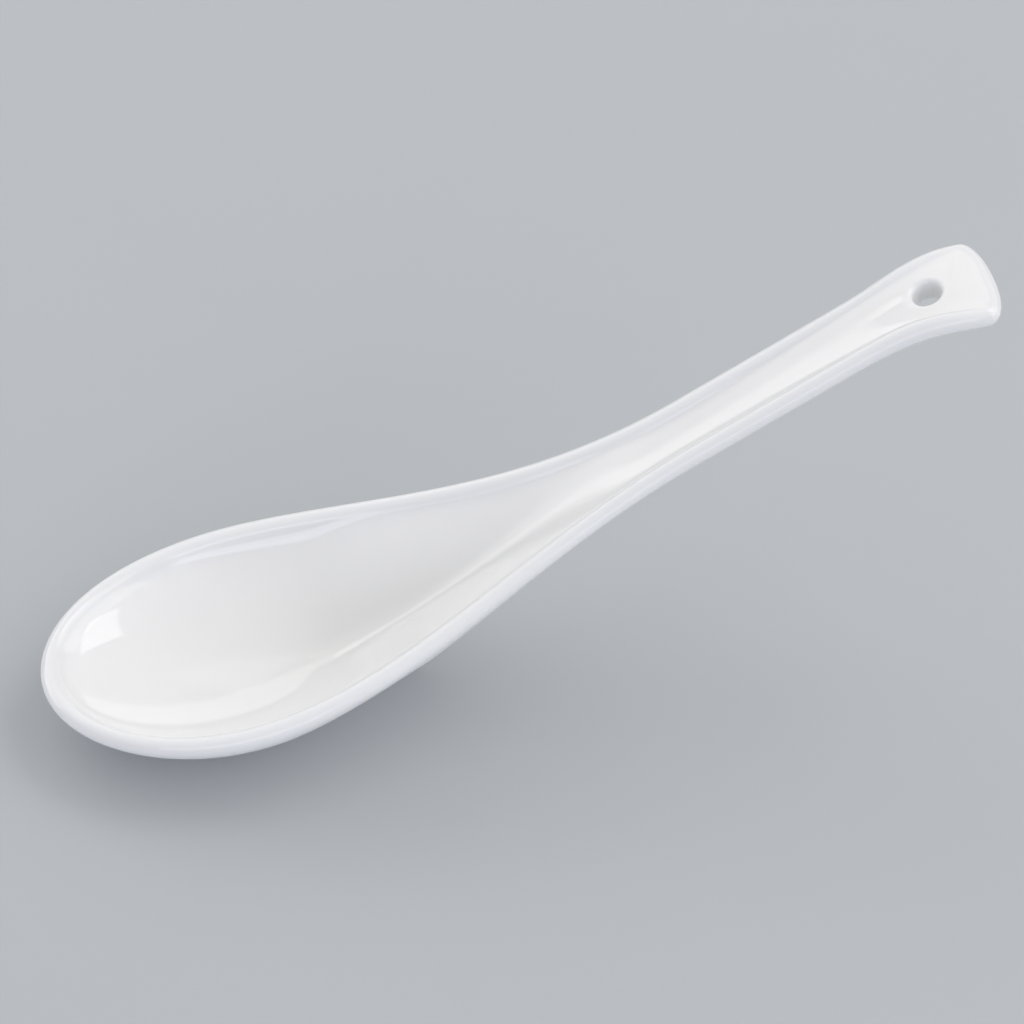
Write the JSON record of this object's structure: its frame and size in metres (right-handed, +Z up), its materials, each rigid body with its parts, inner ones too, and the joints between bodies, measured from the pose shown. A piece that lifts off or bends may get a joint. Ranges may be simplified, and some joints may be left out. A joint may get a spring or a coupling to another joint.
{
  "type": "chinese soup spoon",
  "caption": "Glazed porcelain soup spoon with a boat-shaped bowl on a flat bare foot and a raised, channelled handle with a hanging hole.",
  "frame": {"origin": "middle of the flat foot, on the surface that the spoon stands on", "axes": "+Z up, +X along the spoon from the bowl to the handle's end, +Y across the bowl; the XZ plane is the plane of symmetry"},
  "size_m": [0.1314, 0.0396, 0.0544],
  "materials": {
    "biscuit_porcelain": "fired and unglazed, fine and matt, ground flat at the foot",
    "clear_glaze": "high gloss clear glaze over white clay, pale and slightly cool in its reflections"
  },
  "bodies": {
    "root": {"porcelain_body": "biscuit_porcelain", "glaze_coat": "clear_glaze"}
  },
  "joints": []
}
